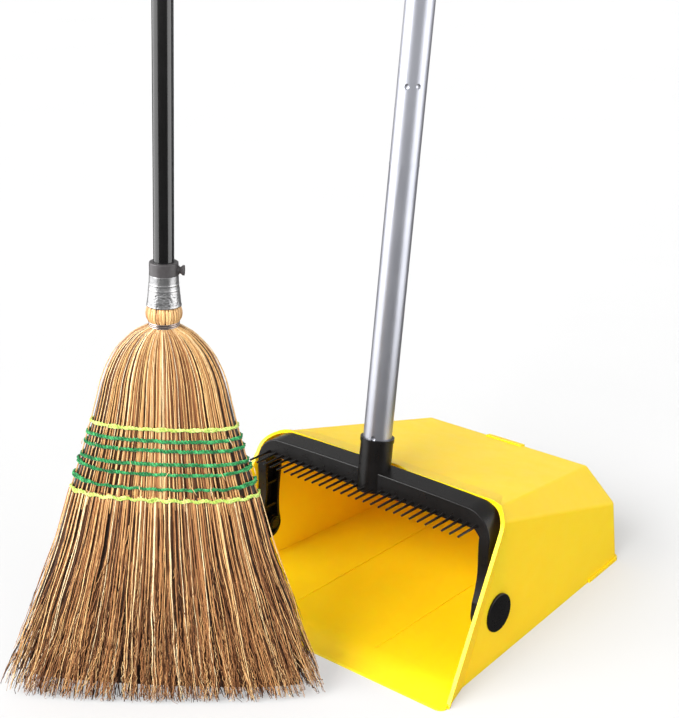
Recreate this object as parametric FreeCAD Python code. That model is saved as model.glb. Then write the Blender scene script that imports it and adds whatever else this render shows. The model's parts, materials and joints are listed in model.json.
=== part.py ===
import FreeCAD, Part
import math
import os

# Upright dust pan on a hinged pole, with a corn broom standing in front of it.
# Millimetres, +Z up. The pan is drawn with the middle of its lip at the origin, +Y to the back,
# and the whole set is moved by ROW_SHIFT on export, to the bottom centre of its box.

V = FreeCAD.Vector
X_AXIS = V(1, 0, 0)
Y_AXIS = V(0, 1, 0)
Z_AXIS = V(0, 0, 1)
BIG = 1500.0

ROW_SHIFT = V(0.74, -61.86, 0)

# --- dust pan shell ---
WALL = 2.6
PAN_DEPTH = 357.0
WALL_HALF_WIDTH = 156.0  # at the lip line
WALL_TAPER = 0.06  # sideways per millimetre back
HOOD_FRONT_Y = 120.0
HOOD_FRONT_Z = 152.0
HOOD_SLOPE = 0.2
REAR_LEAN = 0.199
FACET_FRONT = V(138, 120, 152)
FACET_REAR_TOP = V(103, 335.5, 108.9)
FACET_REAR_LOW = V(134, 343, 73)
FLARE_LIP = V(163.5, 8.3, 0)
FLARE_TOP = V(152.8, 99, 135)
FLARE_BACK = V(153.3, 45, 0)
FLARE_DEPTH = 150.0
HOOD_LIFT_Z = 154.5
HOOD_LIFT_SLOPE = 0.28
RIM_CORNER_R = 22.0
CREASE_R = 6.0
RIM_BEAD = 1.2
RIM_BEAD_DEPTH = 4.6
FOOT_FLANGE = 2.0
FOOT_FLANGE_HEIGHT = 4.0
FLOOR_TOP = 7.6
FLOOR_UNDER = 4.6
RAMP_BACK_Y = 29.0
LIP_CORNER_R = 9.0
NOTCH_HALF_WIDTH = 27.0
NOTCH_DEPTH = 9.0
GROOVE_X = 58.0
GROOVE_WIDTH = 2.4
GROOVE_DEPTH = 0.6
TAB_HALF_WIDTH = 23.0
TAB_RISE = 1.2
RAMP_FILLET_R = 90.0
FLANGE_START_Y = 290.0
YOKE_EDGE_R = 1.2

# --- hinge between pan and yoke ---
PIVOT_Y = 103.0
PIVOT_Z = 52.0
PIN_R = 5.0
PIN_CLEARANCE = 0.06
CAP_R = 19.0
CAP_OUTER_X = 152.4
RING_R = 7.0

# --- yoke and comb ---
ARM_OUT_X = 146.0
ARM_IN_X = 134.5
YOKE_END_TOP = 155.0
YOKE_MID_TOP = 156.8
YOKE_CORNER_R = 28.0
BAR_UNDER = 136.5
YOKE_WALL = 2.8
TOOTH_COUNT = 29
TOOTH_END_X = 130.1
TOOTH_Z = 140.0
TOOTH_TIP_Y = 62.6
TOOTH_ROOT_R = 1.45
TOOTH_TIP_R = 1.1
STRIP_TOP = 143.0
STRIP_HALF_LENGTH = 133.0
STRIP_BACK_Y = 96.4

# --- pole ---
POLE_FOOT = V(0, 103.2, 157)
POLE_LEAN = math.radians(7.66)
POLE_R = 14.0
POLE_WALL = 1.2
SOCKET_R = 16.0
SOCKET_SCREW_AT = 20.0
SOCKET_TOP = 31.0
SOCKET_FLOOR = -9.6
SEAM = 295.0
SEAM_RING = 1.6
LOWER_CRIMPS = ((34.5, 20), (34.5, 200))  # distance along the pole, bearing from the front
UPPER_CRIMPS = tuple((SEAM + 74.0, bearing) for bearing in (18, 62, 198, 242))
PLUG_DOWN = 60.0
PLUG_UP = 90.0
GRIP_START = 600.0
GRIP_END = 715.0
GRIP_R = 16.4
POLE_TOP = 755.0

# --- broom ---
BROOM_FOOT = V(-48.5, -137.2, 0)
BROOM_TURN = 39.64
BROOM_LEAN = 2.2
HANDLE_R = 8.5
HANDLE_WALL = 0.9
HANDLE_BOTTOM = 325.0
HANDLE_TOP = 965.0
HANDLE_CAP_TOP = 990.0
COLLAR_R = 12.05
COLLAR_BOTTOM = 399.0
COLLAR_TOP = 409.6
SLEEVE_R = 10.2
SLEEVE_BOTTOM = 316.0
WIRE_Z = 357.0
WIRE_R = 0.75
WIRE_TURNS = 3
THROAT_R = 11.6
BAND_Z = (267.5, 257.0, 248.2, 235.8, 226.5, 213.0, 202.5)
TWINE_DEPTH = 1.3
TWINE_HEIGHT = 3.0
TWINE_GAP = 0.05
SKIRT_TOP = 199.0
SHOULDER_TOP = 353.8
SCREW_Z = 402.9
KNOB_R = 4.3
FERRULE_FOOT_Z = 372.8
FERRULE_BEND_Z = 392.4
HEAD_OUTLINE = (  # height, half width, half depth of the fibre bundle
    (0, 149.9, 19.0),
    (48, 133.0, 19.0),
    (103, 114.1, 18.9),
    (155, 96.2, 17.8),
    (205, 82.1, 16.8),
    (235, 72.7, 16.1),
    (270, 62.8, 15.4),
    (290, 57.8, 15.4),
    (306, 54.1, 15.4),
    (318, 49.5, 15.4),
    (328, 44.3, 15.4),
    (336, 39.3, 15.3),
    (343, 32.4, 15.0),
    (348, 27.3, 14.5),
    (351.5, 21.9, 13.9),
    (SHOULDER_TOP, 15.9, 13.2),
)


def save(shape, node):
    moved = shape.copy()
    moved.translate(ROW_SHIFT)
    moved.exportStep("parts/" + node + ".step")


def cut_beyond(shape, point, outward, inset):
    """Cuts off what lies beyond a plane that is moved inwards by inset."""
    normal = V(outward)
    normal.normalize()
    block = Part.makeBox(BIG, BIG, BIG, V(-BIG / 2, -BIG / 2, 0))
    turn = FreeCAD.Rotation(Z_AXIS, normal)
    block.Placement = FreeCAD.Placement(point - normal * inset, turn).multiply(block.Placement)
    return shape.cut(block)


def mirrored(point):
    return V(-point.x, point.y, point.z)


def both_sides_cut(shape, point, outward, inset):
    right = cut_beyond(shape, point, outward, inset)
    return cut_beyond(right, mirrored(point), mirrored(outward), inset)


def outward_normal(a, b, c):
    normal = (b - a).cross(c - a)
    if normal.x < 0:
        normal = normal * -1
    return normal


def edges_where(shape, test):
    return [edge for edge in shape.Edges if test(edge.CenterOfMass, edge.tangentAt(edge.FirstParameter))]


def profile_prism(points, half_width):
    """A closed outline in the Y-Z plane, drawn across the pan."""
    corners = [V(-half_width, y, z) for y, z in points]
    face = Part.Face(Part.makePolygon(corners + [corners[0]]))
    return face.extrude(V(2 * half_width, 0, 0))


# ---------------------------------------------------------------- dust pan shell


def body_volume(inset, base_z):
    """The closed outer form of the pan: tapering walls, sloping hood, corner facets, leaning rear."""
    block = Part.makeBox(400, 450, 220, V(-200, -40, base_z))
    block = both_sides_cut(block, V(WALL_HALF_WIDTH, 0, 0), V(1, WALL_TAPER, 0), inset)
    block = cut_beyond(block, V(0, HOOD_FRONT_Y, HOOD_FRONT_Z), V(0, HOOD_SLOPE, 1), inset)
    block = cut_beyond(block, V(0, PAN_DEPTH, 0), V(0, 1, REAR_LEAN), inset)
    facet = outward_normal(FACET_FRONT, FACET_REAR_TOP, FACET_REAR_LOW)
    block = both_sides_cut(block, FACET_FRONT, facet, inset)

    def crease(centre, tangent):
        return centre.z > base_z + 1 and centre.y > 0

    return block.makeFillet(CREASE_R - inset, edges_where(block, crease))


def flare_volume(inset, base_z):
    """The front band of the pan, which widens towards the rim and lifts the hood's front edge."""
    block = Part.makeBox(400, FLARE_DEPTH + 1, 220, V(-200, -1, base_z))
    flare = outward_normal(FLARE_LIP, FLARE_TOP, FLARE_BACK)
    block = both_sides_cut(block, FLARE_LIP, flare, inset)
    block = cut_beyond(block, V(0, HOOD_FRONT_Y, HOOD_LIFT_Z), V(0, HOOD_LIFT_SLOPE, 1), inset)

    def corner(centre, tangent):
        return centre.z > HOOD_FRONT_Z / 2 and abs(centre.x) > 100 and abs(tangent.y) > 0.8

    return block.makeFillet(RIM_CORNER_R - inset, edges_where(block, corner))


def pan_volume(inset, base_z):
    return body_volume(inset, base_z).fuse(flare_volume(inset, base_z))


def rim_cutter(grow):
    """Everything in front of the rim line, moved back by grow."""
    slope = 135.0 / (FLARE_TOP.y - FLARE_LIP.y)
    low = V(-200, FLARE_LIP.y - 10 / slope + grow, -10)
    bend = V(-200, FLARE_TOP.y - 2 + grow, 132)
    middle = V(-200, 105.4 + grow, 143.7)
    top = V(-200, HOOD_FRONT_Y - 1.5 + grow, 152.8)
    above = V(-200, HOOD_FRONT_Y + 1 + grow, 190)
    front_high = V(-200, -60, 190)
    front_low = V(-200, -60, -10)
    edges = [
        Part.makeLine(front_low, low),
        Part.makeLine(low, bend),
        Part.Arc(bend, middle, top).toShape(),
        Part.makeLine(top, above),
        Part.makeLine(above, front_high),
        Part.makeLine(front_high, front_low),
    ]
    cutter = Part.Face(Part.Wire(edges)).extrude(V(400, 0, 0))
    notch_r = (NOTCH_HALF_WIDTH**2 + NOTCH_DEPTH**2) / (2 * NOTCH_DEPTH)
    notch_y = HOOD_FRONT_Y + NOTCH_DEPTH - notch_r
    notch = Part.makeCylinder(notch_r + grow, 60, V(0, notch_y, 130))
    return cutter.fuse(notch)


def pan_floor():
    """A thin raised floor with a ramp down to the lip, and ribs under it."""
    outline = [
        (0, 0),
        (9, 0),
        (RAMP_BACK_Y + 2, FLOOR_UNDER),
        (PAN_DEPTH, FLOOR_UNDER),
        (PAN_DEPTH, FLOOR_TOP),
        (RAMP_BACK_Y, FLOOR_TOP),
        (1.2, 1.7),
        (0, 0.9),
    ]
    plate = profile_prism(outline, 170)

    def ramp_top(centre, tangent):
        return abs(centre.y - RAMP_BACK_Y) < 0.1 and abs(centre.z - FLOOR_TOP) < 0.1 and abs(tangent.x) > 0.9

    plate = plate.makeFillet(RAMP_FILLET_R, edges_where(plate, ramp_top))
    for x in (-80, 0, 80):
        plate = plate.fuse(Part.makeBox(2, 306, 4.2, V(x - 1, 36, 0.6)))
    for y in (130, 240):
        plate = plate.fuse(Part.makeBox(320, 2, 4.2, V(-160, y, 0.6)))
    plan = Part.makeBox(2 * FLARE_LIP.x, 400, 40, V(-FLARE_LIP.x, 0, -10))
    front_corners = edges_where(plan, lambda centre, tangent: centre.y < 1 and abs(tangent.z) > 0.9)
    plan = plan.makeFillet(LIP_CORNER_R, front_corners)
    plate = plate.common(plan).common(pan_volume(1.0, -5))
    for side in (-1, 1):
        corner = V(side * GROOVE_X - GROOVE_WIDTH / 2, RAMP_BACK_Y + 7, FLOOR_TOP - GROOVE_DEPTH)
        plate = plate.cut(Part.makeBox(GROOVE_WIDTH, 300, 5, corner))
    return plate


def rear_tab():
    """The raised tab in the middle of the hood's rear edge."""
    block = Part.makeBox(2 * TAB_HALF_WIDTH, 14, 34, V(-TAB_HALF_WIDTH, 328, 84))
    block = cut_beyond(block, V(0, HOOD_FRONT_Y, HOOD_FRONT_Z + TAB_RISE), V(0, HOOD_SLOPE, 1), 0)
    return cut_beyond(block, V(0, PAN_DEPTH + TAB_RISE, 0), V(0, 1, REAR_LEAN), 0)


def pan_shell():
    cavity = pan_volume(WALL, -5)
    bead = pan_volume(-RIM_BEAD, 0).common(rim_cutter(RIM_BEAD_DEPTH))
    low_band = Part.makeBox(400, 400, FOOT_FLANGE_HEIGHT, V(-200, FLANGE_START_Y, 0))
    flange = pan_volume(-FOOT_FLANGE, 0).common(low_band)
    shell = pan_volume(0, 0).fuse([bead, flange, rear_tab()])
    shell = shell.cut(cavity).cut(rim_cutter(0))
    shell = shell.fuse(pan_floor())
    hole = Part.makeCylinder(PIN_R, 400, V(-200, PIVOT_Y, PIVOT_Z), X_AXIS)
    return shell.cut(hole).removeSplitter()


# ---------------------------------------------------------------- hinge pins


def pivot_cap():
    """A round cap on the outside of the right wall, with the stub axle for the yoke."""
    head = Part.makeCylinder(CAP_R, 6, V(CAP_OUTER_X - 6, PIVOT_Y, PIVOT_Z), X_AXIS)
    rim = edges_where(head, lambda centre, tangent: centre.x > CAP_OUTER_X - 0.1)
    head = head.makeFillet(1.0, rim).cut(pan_volume(0, 0))
    axle_start = ARM_IN_X - 0.3
    axle = Part.makeCylinder(PIN_R, CAP_OUTER_X - 2 - axle_start, V(axle_start, PIVOT_Y, PIVOT_Z), X_AXIS)
    return head.fuse(axle).removeSplitter()


def pivot_ring():
    """The push-on ring that keeps the arm on its stub axle."""
    start = V(ARM_IN_X + 0.7, PIVOT_Y, PIVOT_Z)
    ring = Part.makeCylinder(RING_R, 1.6, start, X_AXIS)
    return ring.cut(Part.makeCylinder(PIN_R, 5, start - X_AXIS * 2, X_AXIS))


# ---------------------------------------------------------------- yoke and comb


def yoke_front_outline():
    """The upside-down U, seen from the front."""
    corner = YOKE_CORNER_R * (1 - math.cos(math.radians(45)))
    bend_x = ARM_OUT_X - YOKE_CORNER_R
    bend_z = YOKE_END_TOP - YOKE_CORNER_R
    y = 60
    left_low = V(-ARM_OUT_X, y, 20)
    left_bend = V(-ARM_OUT_X, y, bend_z)
    left_top = V(-bend_x, y, YOKE_END_TOP)
    right_top = V(bend_x, y, YOKE_END_TOP)
    right_bend = V(ARM_OUT_X, y, bend_z)
    right_low = V(ARM_OUT_X, y, 20)
    inside = [
        right_low,
        V(ARM_IN_X, y, 20),
        V(ARM_IN_X, y, BAR_UNDER - 6),
        V(ARM_IN_X - 6, y, BAR_UNDER),
        V(6 - ARM_IN_X, y, BAR_UNDER),
        V(-ARM_IN_X, y, BAR_UNDER - 6),
        V(-ARM_IN_X, y, 20),
        left_low,
    ]
    middle_height = YOKE_END_TOP - corner
    edges = [
        Part.makeLine(left_low, left_bend),
        Part.Arc(left_bend, V(corner - ARM_OUT_X, y, middle_height), left_top).toShape(),
        Part.Arc(left_top, V(0, y, YOKE_MID_TOP), right_top).toShape(),
        Part.Arc(right_top, V(ARM_OUT_X - corner, y, middle_height), right_bend).toShape(),
        Part.makeLine(right_bend, right_low),
        Part.makePolygon(inside),
    ]
    return Part.Face(Part.Wire(Part.__sortEdges__([e for part in edges for e in part.Edges])))


def yoke_side_face(inset):
    """The arm and bar, seen from the side: straight back, waisted, with a rounded foot."""
    front = [(92.9, 160), (91.5, 140), (89.8, 120), (89.8, 98), (87, 79), (82.6, 66)]
    back = [(109.6, 64), (109.4, 78), (111.2, 97), (114.2, 116), (116.6, 140), (117.2, 160)]
    front_points = [V(-200, y + inset, z) for y, z in front]
    back_points = [V(-200, y - inset, z) for y, z in back]
    front_curve = Part.BSplineCurve()
    front_curve.interpolate(front_points)
    back_curve = Part.BSplineCurve()
    back_curve.interpolate(back_points)
    foot_front = V(-200, 81.0 + inset, 54)
    foot_low = V(-200, 96, 37.5 + inset)
    foot_back = V(-200, 111.5 - inset, 52)
    edges = [
        front_curve.toShape(),
        Part.makeLine(front_points[-1], foot_front),
        Part.Arc(foot_front, foot_low, foot_back).toShape(),
        Part.makeLine(foot_back, back_points[0]),
        back_curve.toShape(),
        Part.makeLine(back_points[-1], front_points[0]),
    ]
    return Part.Face(Part.Wire(Part.__sortEdges__(edges)))


def pole_direction():
    return V(0, math.sin(POLE_LEAN), math.cos(POLE_LEAN))


def pole_point(along):
    return POLE_FOOT + pole_direction() * along


def pole_cylinder(radius, start, end):
    return Part.makeCylinder(radius, end - start, pole_point(start), pole_direction())


def arm_pocket(side):
    """The recess in the inner face of an arm, crossed by ribs and holding the pivot boss."""
    pocket = yoke_side_face(YOKE_WALL).extrude(V(400, 0, 0))
    depth = ARM_OUT_X - YOKE_WALL - ARM_IN_X
    window = Part.makeBox(depth + 2, 60, 92, V(ARM_IN_X - 2, 70, 34))
    pocket = pocket.common(window)
    pocket = pocket.cut(Part.makeCylinder(9.0, 30, V(ARM_IN_X + 3, PIVOT_Y, PIVOT_Z), X_AXIS))
    for z in (73, 99):
        pocket = pocket.cut(Part.makeBox(40, 60, 2.4, V(ARM_IN_X + 1.5, 70, z)))
    ring_seat = Part.makeCylinder(RING_R + 0.4, 5, V(ARM_IN_X - 2, PIVOT_Y, PIVOT_Z), X_AXIS)
    pocket = pocket.fuse(ring_seat)
    if side < 0:
        return pocket.mirror(V(0, 0, 0), X_AXIS)
    return pocket


def bar_pockets():
    """The hollows under the bar, between its ribs."""
    cells = []
    width = 25.0
    for side in (-1, 1):
        for index in range(4):
            left = 20.0 + index * (width + 2.4)
            x = left if side > 0 else -left - width
            cells.append(Part.makeBox(width, 14.0, 15.6, V(x, STRIP_BACK_Y + 2.6, BAR_UNDER)))
    return cells


def yoke_and_comb():
    """The yoke with its hollows, and the comb strip that sits in its front."""
    bar = yoke_front_outline().extrude(V(0, 80, 0)).common(yoke_side_face(0).extrude(V(400, 0, 0)))
    socket = pole_cylinder(SOCKET_R, -30, SOCKET_TOP)
    socket = socket.fuse(pole_cylinder(SOCKET_R + 0.7, SOCKET_TOP - 4, SOCKET_TOP))
    socket = cut_beyond(socket, V(0, 0, BAR_UNDER), V(0, 0, -1), 0)

    def front_top(centre, tangent):
        return centre.z > STRIP_TOP and centre.y < 94 and abs(tangent.y) < 0.5

    bar = bar.makeFillet(YOKE_EDGE_R, edges_where(bar, front_top)).fuse(socket)
    slot_corner = V(-STRIP_HALF_LENGTH, STRIP_BACK_Y - 40, BAR_UNDER - 2)
    slot = Part.makeBox(2 * STRIP_HALF_LENGTH, 40, STRIP_TOP - BAR_UNDER + 2, slot_corner)
    strip = bar.common(slot)
    yoke = bar.cut(slot)
    yoke = yoke.cut(bar_pockets() + [arm_pocket(-1), arm_pocket(1)])
    yoke = yoke.cut(pole_cylinder(POLE_R, SOCKET_FLOOR, SOCKET_TOP + 5))
    bore_r = PIN_R + PIN_CLEARANCE
    yoke = yoke.cut(Part.makeCylinder(bore_r, 400, V(-200, PIVOT_Y, PIVOT_Z), X_AXIS))
    yoke = yoke.cut(socket_screw())
    teeth = []
    for index in range(TOOTH_COUNT):
        x = -TOOTH_END_X + 2 * TOOTH_END_X * index / (TOOTH_COUNT - 1)
        root = V(x, STRIP_BACK_Y - 2.5, TOOTH_Z)
        length = root.y - TOOTH_TIP_Y - TOOTH_TIP_R
        tooth = Part.makeCone(TOOTH_ROOT_R, TOOTH_TIP_R, length, root, Y_AXIS * -1)
        tip = Part.makeSphere(TOOTH_TIP_R, V(x, TOOTH_TIP_Y + TOOTH_TIP_R, TOOTH_Z))
        collar = Part.makeCone(2.3, 1.4, 5.4, root, Y_AXIS * -1)
        teeth += [tooth, tip, collar]
    return yoke.removeSplitter(), strip.fuse(teeth).removeSplitter()


# ---------------------------------------------------------------- pole


def dimple(along, bearing):
    """A ball that dents the tube's wall, at a bearing from the front."""
    ball_r = 4.0
    side = V(math.sin(math.radians(bearing)), -math.cos(math.radians(bearing)), 0)
    return Part.makeSphere(ball_r, pole_point(along) + side * (POLE_R + 3.1))


def dimples(places):
    return [dimple(along, bearing) for along, bearing in places]


def pole_tube(start, end, places):
    tube = pole_cylinder(POLE_R, start, end).cut(pole_cylinder(POLE_R - POLE_WALL, start - 1, end + 1))
    return tube.cut(dimples(places))


def pole_coupling():
    """The plug that joins the two tubes, with the thin ring that shows at the seam."""
    plug_r = POLE_R - POLE_WALL - 0.05
    plug = pole_cylinder(plug_r, SEAM - PLUG_DOWN, SEAM + SEAM_RING + PLUG_UP)
    ring = pole_cylinder(POLE_R + 0.3, SEAM, SEAM + SEAM_RING)
    bore = pole_cylinder(plug_r - 2.8, SEAM - PLUG_DOWN - 1, SEAM + PLUG_UP + 5)
    return plug.fuse(ring).cut(bore).cut(dimples(UPPER_CRIMPS)).removeSplitter()


def pole_grip():
    """The ribbed sleeve at the top of the pole."""
    grip = pole_cylinder(GRIP_R, GRIP_START, GRIP_END)
    ends = [edge for edge in grip.Edges if isinstance(edge.Curve, Part.Circle)]
    grip = grip.makeFillet(1.5, ends).cut(pole_cylinder(POLE_R, GRIP_START - 5, GRIP_END + 5))
    grooves = [groove_ring(GRIP_START + 20 + 12 * i, GRIP_R, 1.0, 3.0) for i in range(7)]
    return grip.cut(grooves)


def groove_ring(along, radius, depth, width):
    outer = pole_cylinder(radius + 2, along - width / 2, along + width / 2)
    return outer.cut(pole_cylinder(radius - depth, along - width, along + width))


def grip_cap():
    """The rounded end of the grip, with a flat ear and a hole to hang it by."""
    base = pole_cylinder(GRIP_R, GRIP_END, GRIP_END + 8)
    neck = Part.makeCone(GRIP_R, 12.0, 6, pole_point(GRIP_END + 8), pole_direction())
    ear_r = 15.0
    ear_centre = pole_point(POLE_TOP - ear_r)
    across = V(0, math.cos(POLE_LEAN), -math.sin(POLE_LEAN))
    ear = Part.makeCylinder(ear_r, 9, ear_centre - across * 4.5, across)
    web = Part.makeBox(24, 9, 16, V(-12, -4.5, 0))
    lean = FreeCAD.Rotation(X_AXIS, -math.degrees(POLE_LEAN))
    web.Placement = FreeCAD.Placement(pole_point(GRIP_END + 9), lean).multiply(web.Placement)
    plug = pole_cylinder(POLE_R - POLE_WALL, GRIP_END - 22, GRIP_END)
    hole = Part.makeCylinder(6.0, 20, ear_centre - across * 10, across)
    return base.fuse([neck, ear, web, plug]).cut(hole).removeSplitter()


def socket_screw():
    """The screw at the back of the socket that keeps the pole in it."""
    inward = V(0, -math.cos(POLE_LEAN), math.sin(POLE_LEAN))
    start = pole_point(SOCKET_SCREW_AT) - inward * (SOCKET_R + 2.0)
    head = Part.makeCylinder(3.6, 2.0, start, inward)
    shank = Part.makeCylinder(1.9, 8, start + inward * 1.5, inward)
    return head.fuse(shank).removeSplitter()


# ---------------------------------------------------------------- broom, drawn upright then placed


def place_broom(shape):
    placed = shape.copy()
    turn = FreeCAD.Rotation(Z_AXIS, BROOM_TURN).multiply(FreeCAD.Rotation(Y_AXIS, BROOM_LEAN))
    placed.Placement = FreeCAD.Placement(BROOM_FOOT, turn).multiply(placed.Placement)
    return placed


def oval(half_width, half_depth, z):
    """A closed oval across the broom head."""
    if half_width > half_depth:
        curve = Part.Ellipse(V(0, 0, z), half_width, half_depth)
    else:
        curve = Part.Circle(V(0, 0, z), Z_AXIS, half_width)
    return Part.Wire([curve.toShape()])


def head_oval(z, grow=0.0):
    """The oval of the fibre bundle at a height, made larger all round by grow."""
    return oval(*head_size(z, grow), z)


def head_size(z, grow):
    """Half width and half depth of the fibre bundle at a height."""
    for low, high in zip(HEAD_OUTLINE, HEAD_OUTLINE[1:]):
        if z <= high[0]:
            share = (z - low[0]) / (high[0] - low[0])
            return [a + (b - a) * share + grow for a, b in zip(low[1:], high[1:])]
    return [size + grow for size in HEAD_OUTLINE[-1][1:]]


def fibre_skirt():
    """The loose ends of the fibres below the last stitching, cut flat at the floor."""
    heights = (-12, 30, 75, 120, 160, SKIRT_TOP)
    skirt = place_broom(Part.makeLoft([head_oval(z) for z in heights], True))
    return cut_beyond(skirt, V(0, 0, 0), V(0, 0, -1), 0)


def fibre_shoulder():
    """The stitched part of the head, from the last stitching up to the wire."""
    heights = [SKIRT_TOP] + [z for z, wide, deep in HEAD_OUTLINE if z > SKIRT_TOP]
    return Part.makeLoft([head_oval(z) for z in heights], True, True)


def fibre_throat():
    """The round bulb of fibres between the wire and the ferrule."""
    base = V(THROAT_R, 0, SHOULDER_TOP)
    wire_top = V(THROAT_R, 0, WIRE_Z + 2.4)
    bulb = V(15.4, 0, 366.4)
    ferrule_foot = V(13.6, 0, FERRULE_FOOT_Z - 0.2)
    ferrule_top = V(11.6, 0, FERRULE_BEND_Z - 0.2)
    top_inner = V(SLEEVE_R, 0, FERRULE_BEND_Z - 0.2)
    bottom_inner = V(SLEEVE_R, 0, SHOULDER_TOP)
    edges = [
        Part.makeLine(base, wire_top),
        Part.Arc(wire_top, bulb, ferrule_foot).toShape(),
        Part.makeLine(ferrule_foot, ferrule_top),
        Part.makeLine(ferrule_top, top_inner),
        Part.makeLine(top_inner, bottom_inner),
        Part.makeLine(bottom_inner, base),
    ]
    return Part.Face(Part.Wire(edges)).revolve(V(0, 0, 0), Z_AXIS, 360)


def stitch_band(z):
    """One row of twine round the head, as a flat oval band that sits on the fibres."""
    bottom = z - TWINE_HEIGHT / 2
    inner = Part.Face(head_oval(bottom, TWINE_GAP))
    outer = Part.Face(head_oval(bottom, TWINE_GAP + TWINE_DEPTH))
    lift = V(0, 0, TWINE_HEIGHT)
    return outer.extrude(lift).cut(inner.extrude(lift))


def throat_wire():
    rings = []
    for turn in range(WIRE_TURNS):
        z = WIRE_Z + (turn - 1) * (2 * WIRE_R + 0.02)
        rings.append(Part.makeTorus(THROAT_R + WIRE_R + 0.02, WIRE_R, V(0, 0, z)))
    return Part.makeCompound(rings)


def handle_collar():
    """The plastic socket: a collar outside, and a sleeve down into the fibres."""
    sleeve = Part.makeCylinder(SLEEVE_R, COLLAR_BOTTOM - SLEEVE_BOTTOM, V(0, 0, SLEEVE_BOTTOM))
    collar = Part.makeCylinder(COLLAR_R, COLLAR_TOP - COLLAR_BOTTOM, V(0, 0, COLLAR_BOTTOM))
    top_edge = edges_where(collar, lambda centre, tangent: centre.z > COLLAR_TOP - 0.1)
    collar = collar.makeFillet(0.8, top_edge)
    boss = Part.makeCylinder(3.7, COLLAR_R + 0.6, V(0, 0, SCREW_Z), X_AXIS)
    body = sleeve.fuse([collar, boss])
    bore = Part.makeCylinder(HANDLE_R + 0.05, 200, V(0, 0, HANDLE_BOTTOM - 1))
    thread = Part.makeCylinder(2.5, 30, V(0, 0, SCREW_Z), X_AXIS)
    return body.cut(bore).cut(thread).removeSplitter()


def thumb_screw():
    """The flared knob at the side of the collar, with its screw."""
    tip_x = HANDLE_R + 0.15
    shank = Part.makeCylinder(2.46, COLLAR_R + 1.6 - tip_x, V(tip_x, 0, SCREW_Z), X_AXIS)
    neck = Part.makeCone(3.0, 2.6, 0.6, V(COLLAR_R + 0.8, 0, SCREW_Z), X_AXIS)
    knob = Part.makeCone(2.6, KNOB_R, 2.2, V(COLLAR_R + 1.4, 0, SCREW_Z), X_AXIS)
    face = Part.makeCylinder(KNOB_R, 1.3, V(COLLAR_R + 3.6, 0, SCREW_Z), X_AXIS)
    return shank.fuse([neck, knob, face]).removeSplitter()


def ferrule():
    """The pressed metal cone over the throat."""
    outer = [(FERRULE_FOOT_Z, 14.5), (FERRULE_BEND_Z, 12.3), (COLLAR_BOTTOM, 12.15)]
    solids = []
    for (z0, r0), (z1, r1) in zip(outer, outer[1:]):
        whole = Part.makeCone(r0, r1, z1 - z0, V(0, 0, z0))
        hollow = Part.makeCone(r0 - 0.6, r1 - 0.6, z1 - z0, V(0, 0, z0))
        solids.append(whole.cut(hollow))
    return solids[0].fuse(solids[1]).removeSplitter()


def handle_tube():
    tube = Part.makeCylinder(HANDLE_R, HANDLE_TOP - HANDLE_BOTTOM, V(0, 0, HANDLE_BOTTOM))
    bore = Part.makeCylinder(HANDLE_R - HANDLE_WALL, HANDLE_TOP, V(0, 0, HANDLE_BOTTOM - 5))
    return tube.cut(bore)


def handle_cap():
    """The plastic end of the handle, with a hole to hang it by."""
    ring = Part.makeCylinder(HANDLE_R + 0.9, 9, V(0, 0, HANDLE_TOP))
    plug = Part.makeCylinder(HANDLE_R - HANDLE_WALL, 20, V(0, 0, HANDLE_TOP - 20))
    ear_z = HANDLE_CAP_TOP - 9.4
    ear = Part.makeCylinder(9.4, 7, V(0, -3.5, ear_z), Y_AXIS)
    web = Part.makeBox(18.8, 7, 8, V(-9.4, -3.5, ear_z - 8))
    hole = Part.makeCylinder(4.5, 20, V(0, -10, ear_z), Y_AXIS)
    return ring.fuse([plug, ear, web]).cut(hole).removeSplitter()


def build_broom():
    bands = [stitch_band(z) for z in BAND_Z]
    sleeve_room = Part.makeCylinder(SLEEVE_R, 200, V(0, 0, SLEEVE_BOTTOM))
    shoulder = fibre_shoulder().cut(sleeve_room)
    save(fibre_skirt(), "fibre_skirt")
    save(place_broom(shoulder), "fibre_shoulder")
    save(place_broom(fibre_throat()), "fibre_throat")
    for number, band in enumerate(bands, start=1):
        save(place_broom(band), "stitch_row_%d" % number)
    save(place_broom(throat_wire()), "throat_wire")
    save(place_broom(handle_collar()), "handle_collar")
    save(place_broom(ferrule()), "ferrule")
    save(place_broom(thumb_screw()), "thumb_screw")
    save(place_broom(handle_tube()), "broom_handle")
    save(place_broom(handle_cap()), "broom_handle_cap")


def build_dust_pan():
    save(pan_shell(), "pan_shell")
    for name, side in (("right", 1), ("left", -1)):
        cap = pivot_cap()
        ring = pivot_ring()
        if side < 0:
            cap = cap.mirror(V(0, 0, 0), X_AXIS)
            ring = ring.mirror(V(0, 0, 0), X_AXIS)
        save(cap, "pivot_cap_" + name)
        save(ring, "pivot_ring_" + name)
    yoke, comb = yoke_and_comb()
    save(yoke, "yoke")
    save(comb, "comb_strip")


def build_pole():
    screw = socket_screw()
    lower = pole_tube(SOCKET_FLOOR, SEAM, LOWER_CRIMPS).cut(screw)
    save(lower, "pole_lower_tube")
    save(pole_tube(SEAM + SEAM_RING, GRIP_END, UPPER_CRIMPS), "pole_upper_tube")
    save(pole_coupling(), "pole_coupling")
    save(pole_grip(), "pole_grip")
    save(grip_cap(), "grip_cap")
    save(screw, "socket_screw")


os.makedirs("parts", exist_ok=True)
build_dust_pan()
build_pole()
build_broom()
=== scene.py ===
import json
import math

import bpy
import numpy as np
from mathutils import Matrix, Vector, noise


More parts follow.
